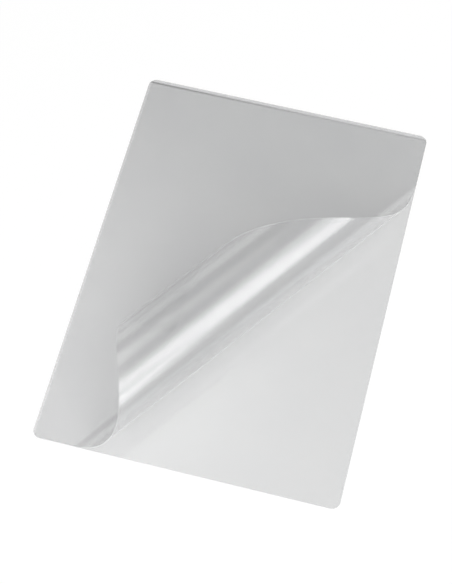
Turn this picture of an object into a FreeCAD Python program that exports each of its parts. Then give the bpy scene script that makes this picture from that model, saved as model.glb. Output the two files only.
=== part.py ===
import FreeCAD, Part
import Sketcher
import math
import os

# A4 laminating pouch: two clear films joined along one short edge, lying on a level floor.
# The back film is flat. The front film lies on it and is peeled back from the free corner at +X -Y,
# where it lifts, bends over and closes into one loose roll.
# X runs along the pouch's width, Y along its length towards the sealed edge, Z up.
# The origin is the middle of the back film's underside.

# Driving dimensions, in millimetres and degrees
SIZES = (
    ("pouch_width", 216.0, "short side"),
    ("pouch_length", 303.0, "long side"),
    ("film_gauge", 0.25, "thickness of one film"),
    ("corner_radius", 6.0, "die-cut outer corners"),
    ("seal_width", 3.0, "heat-sealed band along the short edge at +Y"),
    ("seal_press", 0.08, "how far the sealing bar pressed the band in"),
    ("peel_reach", 155.0, "from the peeled corner, taken square, to the line where the film lifts"),
    ("roll_angle", 55.1, "direction of the roll's axis, from the width"),
    ("bend_length", 150.0, "developed length over which the five bend radii are spread evenly"),
    ("bend_lift", 20.2, "bend radius where the film lifts"),
    ("bend_front", 22.7, "bend radius a quarter of the way round"),
    ("bend_crown", 35.6, "bend radius half way round"),
    ("bend_back", 26.9, "bend radius three quarters of the way round"),
    ("bend_tip", 13.5, "bend radius at the peeled corner"),
)
BEND_RADII = ("bend_lift", "bend_front", "bend_crown", "bend_back", "bend_tip")

# How finely the bent section is worked out: stations on its curve, and steps between two stations
STATIONS = 61
STEPS = 20

doc = FreeCAD.newDocument("laminating_pouch")
sheet = doc.addObject("Spreadsheet::Sheet", "sizes")
for row, (alias, value, meaning) in enumerate(SIZES, start=1):
    sheet.set("A%d" % row, alias)
    sheet.set("B%d" % row, str(value))
    sheet.set("C%d" % row, meaning)
    sheet.setAlias("B%d" % row, alias)
doc.recompute()


def size(alias):
    """Value of a named cell."""
    return float(sheet.get(alias))


def origin_plane(body, role):
    """The body's own origin plane of that role."""
    for feature in body.Origin.OriginFeatures:
        if feature.Role == role:
            return feature
    raise ValueError(role)


def outline_sketch(body, name):
    """Die-cut outline of one film: a rectangle about the origin with rounded corners."""
    sketch = body.newObject("Sketcher::SketchObject", name)
    sketch.AttachmentSupport = [(origin_plane(body, "XY_Plane"), "")]
    sketch.MapMode = "FlatFace"
    half_w, half_l = size("pouch_width") / 2, size("pouch_length") / 2
    radius = size("corner_radius")
    in_w, in_l = half_w - radius, half_l - radius
    # Straight edges 0 to 3, counter-clockwise from the one at -Y
    straight = (
        ((-in_w, -half_l), (in_w, -half_l)),
        ((half_w, -in_l), (half_w, in_l)),
        ((in_w, half_l), (-in_w, half_l)),
        ((-half_w, in_l), (-half_w, -in_l)),
    )
    for start, end in straight:
        line = Part.LineSegment(FreeCAD.Vector(*start, 0), FreeCAD.Vector(*end, 0))
        sketch.addGeometry(line, False)
    # Corner arcs 4 to 7, each one after the straight edge of the same place
    centres = ((in_w, -in_l), (in_w, in_l), (-in_w, in_l), (-in_w, -in_l))
    for number, centre in enumerate(centres):
        circle = Part.Circle(FreeCAD.Vector(*centre, 0), FreeCAD.Vector(0, 0, 1), radius)
        start = math.radians(90 * number - 90)
        sketch.addGeometry(Part.ArcOfCircle(circle, start, start + math.pi / 2), False)
    rule = Sketcher.Constraint
    for number in range(4):
        sketch.addConstraint(rule("Tangent", number, 2, 4 + number, 1))
        sketch.addConstraint(rule("Tangent", 4 + number, 2, (number + 1) % 4, 1))
    for number in (0, 2):
        sketch.addConstraint(rule("Horizontal", number))
        sketch.addConstraint(rule("Vertical", number + 1))
    for number in (5, 6, 7):
        sketch.addConstraint(rule("Equal", 4, number))
    index = sketch.addConstraint(rule("Radius", 4, radius))
    sketch.setExpression("Constraints[%d]" % index, "sizes.corner_radius")
    # Each straight edge lies half a side from the origin
    sides = (
        ("DistanceY", (0, 1, -1, 1), half_l, "sizes.pouch_length / 2"),
        ("DistanceX", (-1, 1, 1, 1), half_w, "sizes.pouch_width / 2"),
        ("DistanceY", (-1, 1, 2, 1), half_l, "sizes.pouch_length / 2"),
        ("DistanceX", (3, 1, -1, 1), half_w, "sizes.pouch_width / 2"),
    )
    for kind, ends, value, expression in sides:
        index = sketch.addConstraint(rule(kind, *ends, value))
        sketch.setExpression("Constraints[%d]" % index, expression)
    return sketch


def flat_film(name):
    """One film as it was die-cut, flat and one gauge thick."""
    body = doc.addObject("PartDesign::Body", name)
    sketch = outline_sketch(body, name + "_outline")
    doc.recompute()
    pad = body.newObject("PartDesign::Pad", name + "_pad")
    pad.Profile = sketch
    pad.setExpression("Length", "sizes.film_gauge")
    doc.recompute()
    return body


back_film = flat_film("back_film")

# The front film before peeling lies on the back one
front_flat = flat_film("front_flat")
front_flat.setExpression("Placement.Base.z", "sizes.film_gauge")

# The lift line is where the front film leaves the back one. ACROSS runs square to it in the plane,
# towards the peeled corner, and ALONG runs in its direction, which is also the roll's.
GAUGE = size("film_gauge")
AXIS_ANGLE = math.radians(size("roll_angle"))
ALONG = FreeCAD.Vector(math.cos(AXIS_ANGLE), math.sin(AXIS_ANGLE), 0)
ACROSS = FreeCAD.Vector(math.sin(AXIS_ANGLE), -math.cos(AXIS_ANGLE), 0)
PEELED_CORNER = FreeCAD.Vector(size("pouch_width") / 2, -size("pouch_length") / 2, 0)
LIFT_POINT = ACROSS * (PEELED_CORNER.dot(ACROSS) - size("peel_reach"))

# A block over all that is peeled, from the lift line on
peel_block = doc.addObject("Part::Box", "peel_block")
peel_block.setExpression("Length", "sizes.pouch_width + sizes.pouch_length")
peel_block.setExpression("Width", "2 * (sizes.pouch_width + sizes.pouch_length)")
peel_block.setExpression("Height", "3 * sizes.film_gauge")
block_corner = LIFT_POINT - ALONG * (size("pouch_width") + size("pouch_length"))
block_turn = FreeCAD.Rotation(FreeCAD.Vector(0, 0, 1), size("roll_angle") - 90)
peel_block.Placement = FreeCAD.Placement(block_corner, block_turn)

front_lying = doc.addObject("Part::Cut", "front_lying")
front_lying.Base = front_flat
front_lying.Tool = peel_block

front_pattern = doc.addObject("Part::Common", "front_pattern")
front_pattern.Base = front_flat
front_pattern.Tool = peel_block
doc.recompute()


def bend_at(reach):
    """Curvature of the film at that developed distance from the lift line."""
    curvatures = [1 / size(name) for name in BEND_RADII]
    place = min(max(reach / size("bend_length"), 0), 1) * (len(curvatures) - 1)
    before = min(int(place), len(curvatures) - 2)
    share = place - before
    return curvatures[before] * (1 - share) + curvatures[before + 1] * share


def bent_section():
    """Middle of the bent film square to the roll: (developed distance, across, height, turn) at each station."""
    step = size("peel_reach") / (STATIONS - 1) / STEPS
    across, height, turn = 0.0, 1.5 * GAUGE, 0.0
    stations = [(0.0, across, height, turn)]
    for number in range((STATIONS - 1) * STEPS):
        bend = bend_at((number + 0.5) * step)
        across += math.cos(turn + bend * step / 2) * step
        height += math.sin(turn + bend * step / 2) * step
        turn += bend * step
        if (number + 1) % STEPS == 0:
            stations.append(((number + 1) * step, across, height, turn))
    return stations


def bent_face_surface(stations, offset):
    """Surface at that offset from the film's middle. Its first parameter is the developed distance from the
    lift line and its second the distance along the roll, so a flat pattern keeps its size on it."""
    points, tangents = [], []
    for reach, across, height, turn in stations:
        point = LIFT_POINT + ACROSS * (across - math.sin(turn) * offset)
        point.z = height + math.cos(turn) * offset
        points.append(point)
        tangent = ACROSS * math.cos(turn)
        tangent.z = math.sin(turn)
        tangents.append(tangent * (1 - bend_at(reach) * offset))
    section = Part.BSplineCurve()
    section.interpolate(
        Points=points,
        Parameters=[station[0] for station in stations],
        InitialTangent=tangents[0],
        FinalTangent=tangents[-1],
        Scale=False,
    )
    return Part.SurfaceOfExtrusion(section, ALONG)


def wrapped(edge, surface):
    """An edge of the flat pattern laid on the bent surface."""
    flat = edge.Curve.toBSpline(edge.FirstParameter, edge.LastParameter)
    poles = []
    for pole in flat.getPoles():
        out = pole - LIFT_POINT
        poles.append(FreeCAD.Base.Vector2d(out.dot(ACROSS), out.dot(ALONG)))
    laid = Part.Geom2d.BSplineCurve2d()
    laid.buildFromPolesMultsKnots(
        poles, flat.getMultiplicities(), flat.getKnots(), False, flat.Degree, flat.getWeights()
    )
    return laid.toShape(surface)


def bent_film(pattern):
    """The peeled part of the film: its flat pattern wrapped on both faces and walled between them."""
    stations = bent_section()
    under = bent_face_surface(stations, -GAUGE / 2)
    over = bent_face_surface(stations, GAUGE / 2)
    under_edges = [wrapped(edge, under) for edge in pattern.OuterWire.OrderedEdges]
    over_edges = [wrapped(edge, over) for edge in pattern.OuterWire.OrderedEdges]
    faces = [
        Part.Face(under, Part.Wire(under_edges)),
        Part.Face(over, Part.Wire(over_edges)),
    ]
    same_way = 1
    for low, high in zip(under_edges, over_edges):
        faces.append(Part.makeRuledSurface(low, high, same_way))
    shell = Part.makeShell(faces)
    shell.sewShape(1e-4)
    return Part.makeSolid(shell)


def face_towards(shape, direction):
    """The flat face whose outward normal is that direction."""
    for face in shape.Faces:
        if face.normalAt(0, 0).isEqual(direction, 1e-6):
            return face
    raise ValueError(direction)


front_peeled = doc.addObject("Part::Feature", "front_peeled")
front_peeled.Shape = bent_film(face_towards(front_pattern.Shape, FreeCAD.Vector(0, 0, -1)))

front_whole = doc.addObject("Part::Fuse", "front_whole")
front_whole.Base = front_lying
front_whole.Tool = front_peeled

# The sealing bar's band along the edge at +Y, on the outer face of the front film
seal_recess = doc.addObject("Part::Box", "seal_recess")
seal_recess.setExpression("Length", "sizes.pouch_width")
seal_recess.setExpression("Width", "sizes.seal_width")
seal_recess.setExpression("Height", "sizes.film_gauge")
seal_recess.setExpression("Placement.Base.x", "-sizes.pouch_width / 2")
seal_recess.setExpression("Placement.Base.y", "sizes.pouch_length / 2 - sizes.seal_width")
seal_recess.setExpression("Placement.Base.z", "2 * sizes.film_gauge - sizes.seal_press")

front_film = doc.addObject("Part::Cut", "front_film")
front_film.Base = front_whole
front_film.Tool = seal_recess
doc.recompute()

failed = [thing.Name for thing in doc.Objects if {"Invalid", "Error"} & set(thing.State)]
if failed:
    raise ValueError("these objects failed: %s" % failed)

os.makedirs("parts", exist_ok=True)
for piece in (back_film, front_film):
    shape = piece.Shape
    if shape.isNull() or not shape.isValid() or len(shape.Solids) != 1:
        raise ValueError("%s isn't one valid solid" % piece.Label)
    shape.exportStep("parts/%s.step" % piece.Label)
    print(piece.Label, "%.1f mm3" % shape.Volume, shape.BoundBox)
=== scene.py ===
import logging
import math
from dataclasses import dataclass, field, replace
from enum import Enum, IntEnum

import bpy
from mathutils import Matrix, Vector


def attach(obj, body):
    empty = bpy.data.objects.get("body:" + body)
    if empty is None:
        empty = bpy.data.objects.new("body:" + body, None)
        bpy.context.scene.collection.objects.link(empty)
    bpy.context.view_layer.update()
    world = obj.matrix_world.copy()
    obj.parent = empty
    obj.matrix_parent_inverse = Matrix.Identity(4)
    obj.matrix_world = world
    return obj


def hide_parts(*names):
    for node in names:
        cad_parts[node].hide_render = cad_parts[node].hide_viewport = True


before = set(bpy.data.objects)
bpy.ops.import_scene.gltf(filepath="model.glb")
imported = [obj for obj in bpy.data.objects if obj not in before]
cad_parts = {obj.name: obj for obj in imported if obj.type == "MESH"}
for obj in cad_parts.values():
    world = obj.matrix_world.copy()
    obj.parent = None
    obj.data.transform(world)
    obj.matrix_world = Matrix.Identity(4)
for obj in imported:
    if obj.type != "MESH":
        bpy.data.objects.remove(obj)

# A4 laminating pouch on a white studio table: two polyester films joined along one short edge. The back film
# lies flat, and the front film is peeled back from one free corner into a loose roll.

log = logging.getLogger("laminating_pouch")

MM = 0.001

# Corners of the flat films are told apart to this many digits of a metre
DIGITS = 8

Spot = tuple[float, float]


def linear(code: str) -> tuple[float, float, float, float]:
    """Turn an sRGB hex colour into linear RGBA.

    Args:
        code: the colour as "#RRGGBB".

    Returns:
        Linear red, green and blue with an alpha of 1.
    """
    parts = [int(code[i:i + 2], 16) / 255 for i in (1, 3, 5)]
    return tuple(c / 12.92 if c <= 0.04045 else ((c + 0.055) / 1.055) ** 2.4 for c in parts) + (1.0,)


def add_node(tree: bpy.types.NodeTree, kind: str, inputs: dict | None = None, **settings) -> bpy.types.Node:
    """Add a node with its settings and links.

    Args:
        tree: the tree that takes the node.
        kind: the node's type name.
        inputs: value or linked output socket for each input, by name or number.
        **settings: properties of the node itself.

    Returns:
        The new node.
    """
    node = tree.nodes.new(kind)
    for name, value in settings.items():
        setattr(node, name, value)
    for key, value in (inputs or {}).items():
        if isinstance(value, bpy.types.NodeSocket):
            tree.links.new(value, node.inputs[key])
        else:
            node.inputs[key].default_value = value
    return node


class Face(IntEnum):
    """The three kinds of surface on a film."""

    GLOSS = 0
    ADHESIVE = 1
    CUT = 2


class Uses(Enum):
    """Which piece of the pouch a film is."""

    BACK = "back_film"
    FRONT = "front_film"


@dataclass(frozen=True)
class FilmStock:
    """Sizes of one die-cut film, in metres."""

    width: float = 216 * MM
    length: float = 303 * MM
    gauge: float = 0.25 * MM
    corner_radius: float = 6 * MM
    seal_width: float = 3 * MM
    seal_press: float = 0.08 * MM


@dataclass(frozen=True)
class RollShape:
    """How the front film is peeled back: the same sizes as in the part's source, in metres and degrees."""

    angle: float = 55.1
    reach: float = 155 * MM
    bend_length: float = 150 * MM
    radii: tuple[float, ...] = (20.2 * MM, 22.7 * MM, 35.6 * MM, 26.9 * MM, 13.5 * MM)

    def across(self) -> Vector:
        """Direction square to the roll, towards the peeled corner."""
        turn = math.radians(self.angle)
        return Vector((math.sin(turn), -math.cos(turn), 0))

    def lift_point(self, stock: FilmStock) -> Vector:
        """Find the point of the lift line nearest the origin, where the film leaves the table.

        Args:
            stock: the film's sizes.

        Returns:
            The point, at no height.
        """
        across = self.across()
        corner = Vector((stock.width / 2, -stock.length / 2, 0))
        return across * (corner.dot(across) - self.reach)


@dataclass(frozen=True)
class FilmSide:
    """How one side of the film stock was made and what it shows.

    Alpha lets the table through and weakens the gloss with it. So the coat's index is set above polyester's 1.58,
    and the haze is at full weight, until the lamps show in the film as strongly as they do in clear film.
    """

    name: str
    colour: str
    thin_colour: str
    alpha: float
    ior: float
    roughness: float
    coat_ior: float
    coat_roughness: float
    streak: float
    grain_height: float = 0.002 * MM
    sheen: float = 1.0
    sheen_roughness: float = 0.4

    # Sizes of the patterns, in millimetres of the flat film: how far a cloud and a streak run, the width of a
    # grain, how far the painted shadow line fades from the top-left corner, where it is full and where it ends,
    # and the fade of the rim's painted light
    CLOUD = 45
    STREAK_RUN = 90
    GRAIN = 0.9
    CORNER_SHADOW_RUN = 140
    SHADOW_LINE = (0.3, 1.0)
    RIM_FADE = 0.6

    # How much the streaks vary the roughness, and how much duller the rim is
    STREAK_DEPTH = 0.025
    RIM_DULLER = 0.2

    def build(self, stock: FilmStock) -> bpy.types.Material:
        """Make the side's material.

        Args:
            stock: the film's sizes.

        Returns:
            The material, with its pattern in millimetres of the flat film.
        """
        material = bpy.data.materials.new(self.name)
        material.use_nodes = True
        tree = material.node_tree
        shader = tree.nodes["Principled BSDF"]
        flat = add_node(tree, "ShaderNodeUVMap", uv_map="flat").outputs[0]
        place = add_node(
            tree, "ShaderNodeVectorMath", {0: flat, "Scale": stock.length / MM}, operation="SCALE"
        ).outputs[0]

        # The layer runs slightly thicker and thinner over a few centimetres: a soft change of tone
        cloud = add_node(
            tree, "ShaderNodeTexNoise", {"Vector": place, "Scale": 1 / self.CLOUD, "Detail": 2.0}
        ).outputs[0]
        thickness = add_node(tree, "ShaderNodeMapRange", {0: cloud, 1: 0.3, 2: 0.7, 3: 0.0, 4: 1.0}).outputs[0]
        body = add_node(
            tree,
            "ShaderNodeMix",
            {0: thickness, 6: linear(self.colour), 7: linear(self.thin_colour)},
            data_type="RGBA",
        ).outputs[2]

        # Streaks along the film from the rollers: they soften the gloss in fine parallel lines
        stretch = (MM / self.streak, 1 / self.STREAK_RUN, 1.0)
        drawn = add_node(tree, "ShaderNodeVectorMath", {0: place, 1: stretch}, operation="MULTIPLY").outputs[0]
        streaks = add_node(tree, "ShaderNodeTexNoise", {"Vector": drawn, "Scale": 1.0, "Detail": 3.0}).outputs[0]
        least, most = self.roughness - self.STREAK_DEPTH, self.roughness + self.STREAK_DEPTH
        rough = add_node(tree, "ShaderNodeMapRange", {0: streaks, 1: 0.25, 2: 0.75, 3: least, 4: most}).outputs[0]

        # Along the joined edge and the left one: a painted lighter, duller rim, standing for the back film alone
        # over the white table, with a painted shadow line at its inner side along the front film's edge, strongest
        # near the top-left corner
        parts = add_node(tree, "ShaderNodeSeparateXYZ", {0: place}).outputs
        bar = stock.seal_width / MM
        left = (stock.length - stock.width) / 2 / MM
        top = add_node(tree, "ShaderNodeMath", {0: stock.length / MM, 1: parts[1]}, operation="SUBTRACT").outputs[0]
        side = add_node(tree, "ShaderNodeMath", {0: parts[0], 1: left}, operation="SUBTRACT").outputs[0]
        # Painted shadow: the edge line is strongest at the top-left corner and fades along the joined edge
        corner_shadow = add_node(
            tree, "ShaderNodeMapRange", {0: parts[0], 1: left, 2: left + self.CORNER_SHADOW_RUN, 3: 0.85, 4: 0.25}
        ).outputs[0]
        # For each edge: the way in from it, where its painted shadow line lies, how deep that shadow is, and how
        # much painted light the rim takes
        for inward, inner, shadow_depth, pale in ((top, bar, corner_shadow, 0.5), (side, 0.8 * bar, 0.08, 0.35)):
            off = add_node(tree, "ShaderNodeMath", {0: inward, 1: inner}, operation="SUBTRACT").outputs[0]
            off = add_node(tree, "ShaderNodeMath", {0: off}, operation="ABSOLUTE").outputs[0]
            full, end = self.SHADOW_LINE
            line = add_node(tree, "ShaderNodeMapRange", {0: off, 1: full, 2: end, 3: shadow_depth, 4: 0.0}).outputs[0]
            rim = add_node(
                tree, "ShaderNodeMapRange", {0: inward, 1: inner - self.RIM_FADE, 2: inner, 3: pale, 4: 0.0}
            ).outputs[0]
            # Painted light on the rim, then the painted shadow line over it
            for share, tone in ((rim, "#F4F4F5"), (line, "#26272A")):
                mix = {0: share, 6: body, 7: linear(tone)}
                body = add_node(tree, "ShaderNodeMix", mix, data_type="RGBA").outputs[2]
            duller = {0: rim, 1: self.RIM_DULLER, 2: rough}
            rough = add_node(tree, "ShaderNodeMath", duller, operation="MULTIPLY_ADD").outputs[0]

        # Grain too fine to see as a pattern
        grain = add_node(
            tree, "ShaderNodeTexNoise", {"Vector": place, "Scale": 1 / self.GRAIN, "Detail": 2.0}
        ).outputs[0]
        bump = add_node(tree, "ShaderNodeBump", {"Distance": self.grain_height, "Height": grain}).outputs[0]

        linked = {"Base Color": body, "Roughness": rough, "Normal": bump, "Coat Normal": bump}
        for name, socket in linked.items():
            tree.links.new(socket, shader.inputs[name])
        # The sheen is a dust-fine haze on the surface: pale where the film turns away from the eye
        constant = {
            "IOR": self.ior,
            "Alpha": self.alpha,
            "Sheen Weight": self.sheen,
            "Sheen Roughness": self.sheen_roughness,
            "Coat Weight": 1.0,
            "Coat IOR": self.coat_ior,
            "Coat Roughness": self.coat_roughness,
        }
        for name, value in constant.items():
            shader.inputs[name].default_value = value
        return material


# Outer side, drawn and calendered polyester: smooth, so the lamps show in it as soft-edged light
CALENDERED_POLYESTER = FilmSide(
    name="calendered_polyester",
    colour="#CBCCCD",
    thin_colour="#CFD0D0",
    alpha=0.33,
    ior=1.58,
    roughness=0.30,
    coat_ior=2.0,
    coat_roughness=0.26,
    streak=3 * MM,
)

# Inner side, adhesive coated on from a slot and cooled on a roller: milky, with a satin gloss
COATED_ADHESIVE = FilmSide(
    name="roller_cooled_adhesive",
    colour="#B0B1B2",
    thin_colour="#B4B5B5",
    alpha=0.39,
    ior=1.50,
    roughness=0.36,
    coat_ior=2.8,
    coat_roughness=0.24,
    streak=5 * MM,
)

# Edge sheared by the cutting die: both layers end here, and it gathers light from inside the film
DIE_CUT_EDGE = FilmSide(
    name="die_cut_polyester_edge",
    colour="#E4E5E5",
    thin_colour="#EEEFEF",
    alpha=0.75,
    ior=1.6,
    roughness=0.40,
    coat_ior=1.5,
    coat_roughness=0.35,
    streak=1.2 * MM,
    grain_height=0.004 * MM,
    sheen=0.3,
    sheen_roughness=0.5,
)


@dataclass
class FlatPattern:
    """Flat mesh of a die-cut film. What will bend is laid out along the roll's straight lines."""

    stock: FilmStock
    low: float
    upper: Face
    pressed: bool = False
    roll: RollShape | None = None

    # How finely it is laid: faces along a row, between rows and round a corner
    columns: int = 16
    row: float = 0.5 * MM
    arc: int = 40
    # The peeled tip's round end, how many rows it takes, and where the last one stops
    tip: float = 1.5 * MM
    tip_rows: int = 10
    tip_end: float = 0.003 * MM
    # Run of the slope at the sealing bar's step
    step_run: float = 0.15 * MM

    points: list[tuple[float, float, float]] = field(default_factory=list)
    known: dict[tuple[float, float, bool], int] = field(default_factory=dict)
    faces: list[tuple[int, ...]] = field(default_factory=list)
    sides: list[Face] = field(default_factory=list)
    level: list[bool] = field(default_factory=list)

    def lift_line(self) -> tuple[Spot, float]:
        """Give the lift line as a direction square to it and its distance from the origin.

        Returns:
            The direction, towards the peeled corner, and the distance along it.
        """
        turn = math.radians(self.roll.angle)
        across = (math.sin(turn), -math.cos(turn))
        lift = self.roll.lift_point(self.stock)
        return across, lift.x * across[0] + lift.y * across[1]

    def outline(self) -> list[Spot]:
        """Find the corners of the film's outline.

        Returns:
            The corners, anticlockwise.
        """
        stock = self.stock
        radius = stock.corner_radius
        spots = []
        for number, (sx, sy) in enumerate(((1, -1), (1, 1), (-1, 1), (-1, -1))):
            x, y = sx * (stock.width / 2 - radius), sy * (stock.length / 2 - radius)
            for i in range(self.arc + 1):
                turn = math.pi / 2 * (number - 1 + i / self.arc)
                spots.append((x + radius * math.cos(turn), y + radius * math.sin(turn)))
        return spots

    def clip(self, spots: list[Spot], way: Spot, limit: float) -> list[Spot]:
        """Keep the part of a convex outline on the near side of a straight cut.

        Args:
            spots: the outline's corners.
            way: direction square to the cut.
            limit: the cut's distance from the origin along that direction.

        Returns:
            The corners of what is kept, in the same order.
        """
        kept = []
        for a, b in zip(spots, spots[1:] + spots[:1]):
            near, far = (p[0] * way[0] + p[1] * way[1] - limit for p in (a, b))
            if near <= 0:
                kept.append(a)
            if near * far < 0:
                share = near / (near - far)
                kept.append((a[0] + (b[0] - a[0]) * share, a[1] + (b[1] - a[1]) * share))
        return kept

    def ruling(self, spots: list[Spot], distance: float) -> list[Spot]:
        """Divide one of the roll's straight lines evenly.

        Args:
            spots: the outline's corners.
            distance: how far the line lies past the lift line.

        Returns:
            The line's points, from its lower end to its upper one.
        """
        across, limit = self.lift_line()
        limit += distance
        part = self.clip(spots, across, limit)
        ends = [p for p in part if abs(p[0] * across[0] + p[1] * across[1] - limit) < 1e-9]
        (x0, y0), (x1, y1) = sorted(ends, key=lambda p: p[1])
        n = self.columns
        return [(x0 + (x1 - x0) * i / n, y0 + (y1 - y0) * i / n) for i in range(n + 1)]

    def corner(self, spot: Spot, top: bool) -> int:
        """Find or make the mesh corner at a spot.

        Args:
            spot: place in the plane.
            top: True for the film's upper side.

        Returns:
            The corner's number.
        """
        key = (round(spot[0], DIGITS), round(spot[1], DIGITS), top)
        if key not in self.known:
            height = self.low + top * self.stock.gauge
            band = self.stock.length / 2 - self.stock.seal_width - 0.01 * MM
            if top and self.pressed and spot[1] > band:
                height -= self.stock.seal_press
            self.known[key] = len(self.points)
            self.points.append((spot[0], spot[1], height))
        return self.known[key]

    def lay(self, spots: list[Spot], even: bool) -> None:
        """Add a face on both sides of the film.

        Args:
            spots: the face's corners, anticlockwise from above.
            even: True if it stays flat.
        """
        lower = Face.ADHESIVE if self.upper is Face.GLOSS else Face.GLOSS
        for top, order, side in ((True, spots, self.upper), (False, spots[::-1], lower)):
            self.faces.append(tuple(self.corner(p, top) for p in order))
            self.sides.append(side)
            self.level.append(even)

    def flat_part(self, spots: list[Spot]) -> None:
        """Lay the part that stays flat, with the sealing bar's step across it.

        Args:
            spots: the outline's corners.
        """
        if self.roll:
            line = self.ruling(spots, 0.0)
            spots = self.clip(spots, *self.lift_line())
            place = [round(p[0], DIGITS) for p in spots].index(round(line[0][0], DIGITS))
            spots = spots[:place] + line[:-1] + spots[place + 1:]
        if not self.pressed:
            self.lay(spots, True)
            return
        step = self.stock.length / 2 - self.stock.seal_width
        up, down = (0.0, 1.0), (0.0, -1.0)
        self.lay(self.clip(spots, up, step - self.step_run), True)
        above = self.clip(spots, down, -(step - self.step_run))
        self.lay(self.clip(above, up, step), True)
        self.lay(self.clip(above, down, -step), True)

    def bent_part(self, spots: list[Spot]) -> None:
        """Lay the rows that will bend, from the lift line to the tip.

        Args:
            spots: the outline's corners.
        """
        across, limit = self.lift_line()
        tip = max(p[0] * across[0] + p[1] * across[1] for p in spots) - limit
        even = tip - self.tip
        count = round(even / self.row)
        distances = [even * i / count for i in range(count + 1)]
        distances += [tip - self.tip * (1 - i / self.tip_rows) ** 2 for i in range(1, self.tip_rows)]
        rows = [self.ruling(spots, d) for d in distances + [tip - self.tip_end]]
        for near, far in zip(rows, rows[1:]):
            for i in range(self.columns):
                self.lay([near[i], far[i], far[i + 1], near[i + 1]], False)

    def build(self, name: str) -> bpy.types.Object:
        """Make the flat film.

        Args:
            name: name of the object.

        Returns:
            A closed mesh object with the kind of surface of each face in its "side" attribute.
        """
        spots = self.outline()
        self.flat_part(spots)
        if self.roll:
            self.bent_part(spots)
        used = {(a, b) for face in self.faces for a, b in zip(face, face[1:] + face[:1])}
        twins = {index: self.known[key[:2] + (False,)] for key, index in self.known.items() if key[2]}
        rim = [(a, b) for a, b in used if a in twins and (b, a) not in used]
        for a, b in rim:
            self.faces.append((twins[a], twins[b], b, a))
            self.sides.append(Face.CUT)
            self.level.append(False)
        mesh = bpy.data.meshes.new(name)
        mesh.from_pydata(self.points, [], self.faces)
        mesh.attributes.new("side", "INT", "FACE").data.foreach_set("value", [int(s) for s in self.sides])
        layer = mesh.uv_layers.new(name="flat")
        length = self.stock.length
        for loop in mesh.loops:
            x, y, _ = self.points[loop.vertex_index]
            layer.data[loop.index].uv = (x / length + 0.5, y / length + 0.5)
        mesh.polygons.foreach_set("use_smooth", [not even for even in self.level])
        rims = {frozenset(pair) for pair in rim} | {frozenset((twins[a], twins[b])) for a, b in rim}
        sharp = mesh.attributes.new("sharp_edge", "BOOLEAN", "EDGE")
        sharp.data.foreach_set("value", [frozenset(e.vertices) in rims for e in mesh.edges])
        sheet = bpy.data.objects.new(name, mesh)
        bpy.context.scene.collection.objects.link(sheet)
        return sheet


class Port(Enum):
    """Kinds of node that a step of the bend can take, each with the output that gives its result."""

    MATHS = ("ShaderNodeMath", 0)
    VECTOR = ("ShaderNodeVectorMath", 0)
    DOT = ("ShaderNodeVectorMath", 1)
    JOIN = ("ShaderNodeCombineXYZ", 0)
    SUM_BEFORE = ("GeometryNodeAccumulateField", 1)


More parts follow.
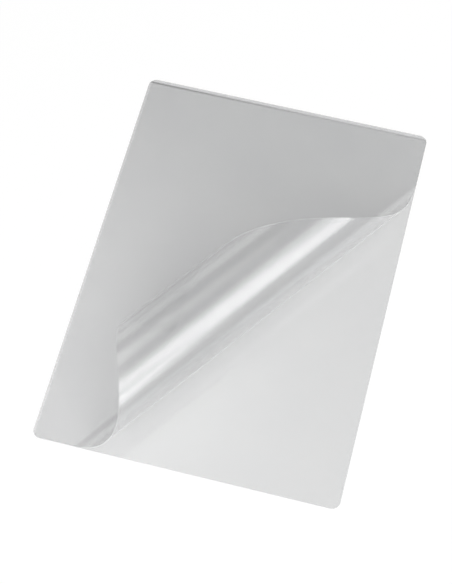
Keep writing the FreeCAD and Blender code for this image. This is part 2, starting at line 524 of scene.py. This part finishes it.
@dataclass
class PeelBend:
    """Geometry Nodes tree that bends a flat film back into its roll."""

    finishes: dict[Face, bpy.types.Material]
    stations: int = 621
    radii: tuple[str, ...] = tuple(f"Bend Radius {i + 1}" for i in range(5))
    tree: bpy.types.NodeTree | None = None
    sockets: dict[str, str] = field(default_factory=dict)
    results: dict[str, object] = field(default_factory=dict)

    def work_out(self, *steps: tuple) -> None:
        """Add a node for each step and keep its result under the step's name.

        Args:
            *steps: name, port, operation and inputs of each step. An input may be an earlier result's name.
        """
        for name, port, operation, *inputs in steps:
            kind, output = port.value
            values = {number: self.results.get(value, value) for number, value in enumerate(inputs)}
            settings = {"operation": operation} if operation else {}
            self.results[name] = add_node(self.tree, kind, values, **settings).outputs[output]

    def take_inputs(self) -> None:
        """Make the tree's named inputs."""
        kinds = {"Film": "NodeSocketGeometry", "Lift Point": "NodeSocketVector"}
        names = ("Film", "Lift Point", "Roll Angle", "Peel Reach", "Bend Length", *self.radii, "Middle Height")
        for name in names:
            kind = kinds.get(name, "NodeSocketFloat")
            item = self.tree.interface.new_socket(name, in_out="INPUT", socket_type=kind)
            self.sockets[name] = item.identifier
        outputs = add_node(self.tree, "NodeGroupInput").outputs
        self.results.update({name: outputs[name] for name in names})

    def bend_section(self) -> None:
        """Work out the bent section at even stations: its turn, then its place across the roll and its height."""
        self.results["station"] = add_node(self.tree, "GeometryNodeInputIndex").outputs[0]
        self.results["curvature"] = 0.0
        self.work_out(
            ("step", Port.MATHS, "DIVIDE", "Peel Reach", self.stations - 1.0),
            ("halfway", Port.MATHS, "ADD", "station", 0.5),
            ("halfway", Port.MATHS, "MULTIPLY", "halfway", "step"),
            ("place", Port.MATHS, "DIVIDE", "halfway", "Bend Length"),
            ("place", Port.MATHS, "MINIMUM", "place", 1.0),
            ("place", Port.MATHS, "MULTIPLY", "place", len(self.radii) - 1.0),
        )
        # Between two of the evenly spread radii, the curvature runs straight from one to the other
        for number, radius in enumerate(self.radii):
            self.work_out(
                ("share", Port.MATHS, "SUBTRACT", "place", float(number)),
                ("share", Port.MATHS, "ABSOLUTE", "share"),
                ("share", Port.MATHS, "SUBTRACT", 1.0, "share"),
                ("share", Port.MATHS, "MAXIMUM", "share", 0.0),
                ("share", Port.MATHS, "DIVIDE", "share", radius),
                ("curvature", Port.MATHS, "ADD", "curvature", "share"),
            )
        self.work_out(
            ("bend", Port.MATHS, "MULTIPLY", "curvature", "step"),
            ("turn", Port.SUM_BEFORE, None, "bend"),
            ("heading", Port.MATHS, "MULTIPLY_ADD", "bend", 0.5, "turn"),
            ("run", Port.MATHS, "COSINE", "heading"),
            ("run", Port.MATHS, "MULTIPLY", "run", "step"),
            ("run", Port.SUM_BEFORE, None, "run"),
            ("rise", Port.MATHS, "SINE", "heading"),
            ("rise", Port.MATHS, "MULTIPLY", "rise", "step"),
            ("rise", Port.SUM_BEFORE, None, "rise"),
            ("section", Port.JOIN, None, "run", "turn", "rise"),
        )

    def measure(self) -> None:
        """Work out where each point of the flat film lies, across the roll, along it and in height."""
        place = add_node(self.tree, "GeometryNodeInputPosition").outputs[0]
        height = add_node(self.tree, "ShaderNodeSeparateXYZ", {0: place}).outputs[2]
        self.work_out(
            ("sine", Port.MATHS, "SINE", "Roll Angle"),
            ("cosine", Port.MATHS, "COSINE", "Roll Angle"),
            ("along", Port.JOIN, None, "cosine", "sine"),
            ("cosine", Port.MATHS, "MULTIPLY", "cosine", -1.0),
            ("across", Port.JOIN, None, "sine", "cosine"),
            ("out", Port.VECTOR, "SUBTRACT", place, "Lift Point"),
            ("distance", Port.DOT, "DOT_PRODUCT", "out", "across"),
            ("shift", Port.DOT, "DOT_PRODUCT", "out", "along"),
            ("offset", Port.MATHS, "SUBTRACT", height, "Middle Height"),
        )

    def read_section(self) -> None:
        """Read the section at each point of the film, between the two stations that it lies between."""
        line = add_node(self.tree, "GeometryNodeMeshLine", {"Count": self.stations}).outputs[0]
        self.work_out(
            ("index", Port.MATHS, "DIVIDE", "distance", "step"),
            ("before", Port.MATHS, "FLOOR", "index"),
            ("after", Port.MATHS, "ADD", "before", 1.0),
            ("share", Port.MATHS, "SUBTRACT", "index", "before"),
        )
        ends = []
        for name in ("before", "after"):
            read = {"Geometry": line, "Value": self.results["section"], "Index": self.results[name]}
            sample = add_node(self.tree, "GeometryNodeSampleIndex", read, data_type="FLOAT_VECTOR", clamp=True)
            ends.append(sample.outputs[0])
        mix = {0: self.results["share"], 4: ends[0], 5: ends[1]}
        between = add_node(self.tree, "ShaderNodeMix", mix, data_type="VECTOR", clamp_factor=True).outputs[1]
        parts = add_node(self.tree, "ShaderNodeSeparateXYZ", {0: between}).outputs
        self.results.update(zip(("run", "turn", "rise"), parts))

    def bend(self) -> bpy.types.NodeSocket:
        """Move the points of the film past the lift line onto the roll.

        Returns:
            The bent film.
        """
        self.work_out(
            ("lean", Port.MATHS, "SINE", "turn"),
            ("lean", Port.MATHS, "MULTIPLY", "lean", "offset"),
            ("run", Port.MATHS, "SUBTRACT", "run", "lean"),
            ("stand", Port.MATHS, "COSINE", "turn"),
            ("stand", Port.MATHS, "MULTIPLY", "stand", "offset"),
            ("rise", Port.MATHS, "ADD", "rise", "stand"),
            ("rise", Port.MATHS, "ADD", "rise", "Middle Height"),
            ("upward", Port.JOIN, None, 0.0, 0.0, "rise"),
            ("bent", Port.VECTOR, "MULTIPLY_ADD", "across", "run", "Lift Point"),
            ("bent", Port.VECTOR, "MULTIPLY_ADD", "along", "shift", "bent"),
            ("bent", Port.VECTOR, "ADD", "bent", "upward"),
        )
        past = {0: self.results["distance"], 1: 0.0}
        peeled = add_node(self.tree, "FunctionNodeCompare", past, operation="GREATER_THAN").outputs[0]
        moved = {"Geometry": self.results["Film"], "Selection": peeled, "Position": self.results["bent"]}
        return add_node(self.tree, "GeometryNodeSetPosition", moved).outputs[0]

    def build(self) -> None:
        """Lay out the tree."""
        self.tree = bpy.data.node_groups.new("peel_bend", "GeometryNodeTree")
        self.tree.interface.new_socket("Film", in_out="OUTPUT", socket_type="NodeSocketGeometry")
        self.take_inputs()
        self.bend_section()
        self.measure()
        self.read_section()
        film = add_node(self.tree, "GeometryNodeRealizeInstances", {0: self.bend()}).outputs[0]
        side = add_node(self.tree, "GeometryNodeInputNamedAttribute", {"Name": "side"}, data_type="INT").outputs[0]
        for face, material in self.finishes.items():
            same = {2: side, 3: int(face)}
            chosen = add_node(self.tree, "FunctionNodeCompare", same, data_type="INT", operation="EQUAL").outputs[0]
            dressed = {"Geometry": film, "Selection": chosen, "Material": material}
            film = add_node(self.tree, "GeometryNodeSetMaterial", dressed).outputs[0]
        add_node(self.tree, "NodeGroupOutput", {0: film})

    def apply(self, sheet: bpy.types.Object, values: dict) -> None:
        """Bend a flat film and leave it as a plain mesh.

        Args:
            sheet: the flat film, which gets the bent mesh.
            values: each named input's value.
        """
        for material in self.finishes.values():
            sheet.data.materials.append(material)
        modifier = sheet.modifiers.new("peel_bend", "NODES")
        modifier.node_group = self.tree
        for name, value in values.items():
            modifier[self.sockets[name]] = value
        bpy.context.view_layer.update()
        shape = sheet.evaluated_get(bpy.context.evaluated_depsgraph_get())
        flat = sheet.data
        mesh = bpy.data.meshes.new_from_object(shape)
        sheet.modifiers.remove(modifier)
        sheet.data = mesh
        bpy.data.meshes.remove(flat)
        mesh.name = sheet.name


@dataclass
class Pouch:
    """The two films of the pouch."""

    stock: FilmStock = field(default_factory=FilmStock)
    roll: RollShape = field(default_factory=RollShape)
    # A hair of air between the films, so that the light meets each of their faces
    air: float = 0.01 * MM
    # A lift point past the peeled corner: a film that takes it stays flat
    unpeeled: tuple[float, float, float] = (1.0, -1.0, 0.0)

    def finishes(self) -> dict[Face, bpy.types.Material]:
        """Material of each kind of surface."""
        sides = {Face.GLOSS: CALENDERED_POLYESTER, Face.ADHESIVE: COATED_ADHESIVE, Face.CUT: DIE_CUT_EDGE}
        return {face: side.build(self.stock) for face, side in sides.items()}

    def build(self) -> list[bpy.types.Object]:
        """Make both films and tie them to the frame.

        Returns:
            The back film and the front film.
        """
        bend = PeelBend(self.finishes())
        bend.build()
        stock, roll = self.stock, self.roll
        shape = {
            "Lift Point": roll.lift_point(stock),
            "Roll Angle": math.radians(roll.angle),
            "Peel Reach": roll.reach,
            "Bend Length": roll.bend_length,
            "Middle Height": 1.5 * stock.gauge,
        }
        shape |= dict(zip(bend.radii, roll.radii))
        front = FlatPattern(stock, stock.gauge, Face.GLOSS, pressed=True, roll=roll).build("front_film_sheet")
        bend.apply(front, shape)
        below = replace(stock, gauge=stock.gauge - self.air)
        back = FlatPattern(below, 0.0, Face.ADHESIVE).build("back_film_sheet")
        bend.apply(back, shape | {"Lift Point": Vector(self.unpeeled)})
        for sheet, use in ((back, Uses.BACK), (front, Uses.FRONT)):
            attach(sheet, "root")
            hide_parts(use.value)
            log.info("%s: %d faces", sheet.name, len(sheet.data.polygons))
        return [back, front]


@dataclass(frozen=True)
class Softbox:
    """A soft lamp of the studio, facing the pouch. A white sheet in the studio has a brightness of 1."""

    name: str
    azimuth: float
    elevation: float
    distance: float
    size: tuple[float, float]
    brightness: float

    def build(self) -> None:
        """Hang the lamp."""
        lamp = bpy.data.lights.new(self.name, "AREA")
        lamp.shape = "RECTANGLE"
        lamp.size, lamp.size_y = self.size
        lamp.energy = self.brightness * math.pi * self.size[0] * self.size[1]
        fitting = bpy.data.objects.new(self.name, lamp)
        bpy.context.scene.collection.objects.link(fitting)
        turn, rise = math.radians(self.azimuth), math.radians(self.elevation)
        away = Vector((math.cos(turn) * math.cos(rise), math.sin(turn) * math.cos(rise), math.sin(rise)))
        fitting.location = away * self.distance
        fitting.rotation_euler = away.to_track_quat("Z", "Y").to_euler()


@dataclass
class Studio:
    """Table, lamps and surroundings."""

    lamps: tuple[Softbox, ...] = (
        Softbox("right_key_softbox", -9, 50, 1.4, (0.4, 0.9), 2.54),
        Softbox("right_key_spill", -5, 55, 1.4, (1, 1.1), 1.63),
        Softbox("overhead_softbox", 128, 67, 1.5, (0.5, 0.6), 0.86),
        Softbox("overhead_left_softbox", 145, 62, 1.5, (0.6, 0.6), 1.04),
        Softbox("front_softbox", 255, 45, 0.9, (0.7, 0.4), 1.49),
        Softbox("front_right_softbox", 315, 30, 1.8, (1.2, 0.7), 4.31),
        Softbox("back_left_strip", 135, 15, 2, (2, 1), 1.15),
        Softbox("front_low_strip", 270, 18, 2, (2.4, 0.9), 2.98),
    )
    ambient: float = 0.32
    # Half the table's side, and how far below the pouch it lies
    table_half: float = 0.42
    table_drop: float = 0.3 * MM
    # How far the table is lifted to white where the eye, or gloss or clear film, looks at it
    table_lift: float = 0.92

    def build(self) -> None:
        """Set up the lamps, the surroundings and the table."""
        for lamp in self.lamps:
            lamp.build()
        world = bpy.data.worlds.new("studio_walls")
        bpy.context.scene.world = world
        world.use_nodes = True
        tree = world.node_tree
        walls = tree.nodes["Background"]
        walls.inputs["Color"].default_value = linear("#FFFFFF")
        walls.inputs["Strength"].default_value = self.ambient
        white = add_node(tree, "ShaderNodeBackground", {"Color": linear("#FFFFFF"), "Strength": 1.0}).outputs[0]
        seen = add_node(tree, "ShaderNodeLightPath").outputs["Is Camera Ray"]
        mix = add_node(tree, "ShaderNodeMixShader", {0: seen, 1: walls.outputs[0], 2: white})
        tree.links.new(mix.outputs[0], tree.nodes["World Output"].inputs[0])
        self.table()

    def table(self) -> None:
        """Lay the white table."""
        half, height = self.table_half, -self.table_drop
        corners = [(x * half, y * half, height) for x, y in ((-1, -1), (1, -1), (1, 1), (-1, 1))]
        mesh = bpy.data.meshes.new("table")
        mesh.from_pydata(corners, [], [(0, 1, 2, 3)])
        top = bpy.data.objects.new("table", mesh)
        bpy.context.scene.collection.objects.link(top)
        material = bpy.data.materials.new("white_table")
        material.use_nodes = True
        tree = material.node_tree
        shader = tree.nodes["Principled BSDF"]
        for name, value in {"Base Color": linear("#FCFCFC"), "Roughness": 0.8, "Specular IOR Level": 0.0}.items():
            shader.inputs[name].default_value = value
        glow = add_node(tree, "ShaderNodeEmission", {"Color": linear("#FFFFFF"), "Strength": 1.0}).outputs[0]
        rays = add_node(tree, "ShaderNodeLightPath").outputs
        seen = rays["Is Camera Ray"]
        for name in ("Is Glossy Ray", "Is Transmission Ray"):
            seen = add_node(tree, "ShaderNodeMath", {0: seen, 1: rays[name]}, operation="ADD").outputs[0]
        lift = {0: seen, 1: self.table_lift}
        seen = add_node(tree, "ShaderNodeMath", lift, operation="MULTIPLY", use_clamp=True).outputs[0]
        mix = add_node(tree, "ShaderNodeMixShader", {0: seen, 1: shader.outputs[0], 2: glow})
        tree.links.new(mix.outputs[0], tree.nodes["Material Output"].inputs[0])
        mesh.materials.append(material)


@dataclass(frozen=True)
class ProductCamera:
    """Camera at the photograph's place, solved from the pouch's four corners."""

    place: tuple[float, float, float] = (0.13423, -0.51334, 1.04255)
    right: tuple[float, float, float] = (0.96792004, 0.25107747, -0.00953433)
    down: tuple[float, float, float] = (0.22045808, -0.86686052, -0.44715888)
    lens: float = 100.33
    sensor: float = 36.0
    clip: tuple[float, float] = (0.05, 50.0)

    def build(self) -> None:
        """Set the scene's camera."""
        data = bpy.data.cameras.new("product_camera")
        data.lens = self.lens
        data.sensor_width = self.sensor
        data.clip_start, data.clip_end = self.clip
        camera = bpy.data.objects.new("product_camera", data)
        bpy.context.scene.collection.objects.link(camera)
        right = Vector(self.right).normalized()
        up = -Vector(self.down)
        up = (up - right * up.dot(right)).normalized()
        turn = Matrix((right, up, right.cross(up))).transposed().to_4x4()
        camera.matrix_world = Matrix.Translation(self.place) @ turn
        bpy.context.scene.camera = camera


def main() -> None:
    """Build the pouch, the studio and the camera."""
    logging.basicConfig(level=logging.INFO, format="%(name)s: %(message)s")
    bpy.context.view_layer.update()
    bpy.context.scene.view_settings.view_transform = "Standard"
    Pouch().build()
    Studio().build()
    ProductCamera().build()


if __name__ == "__main__":
    main()
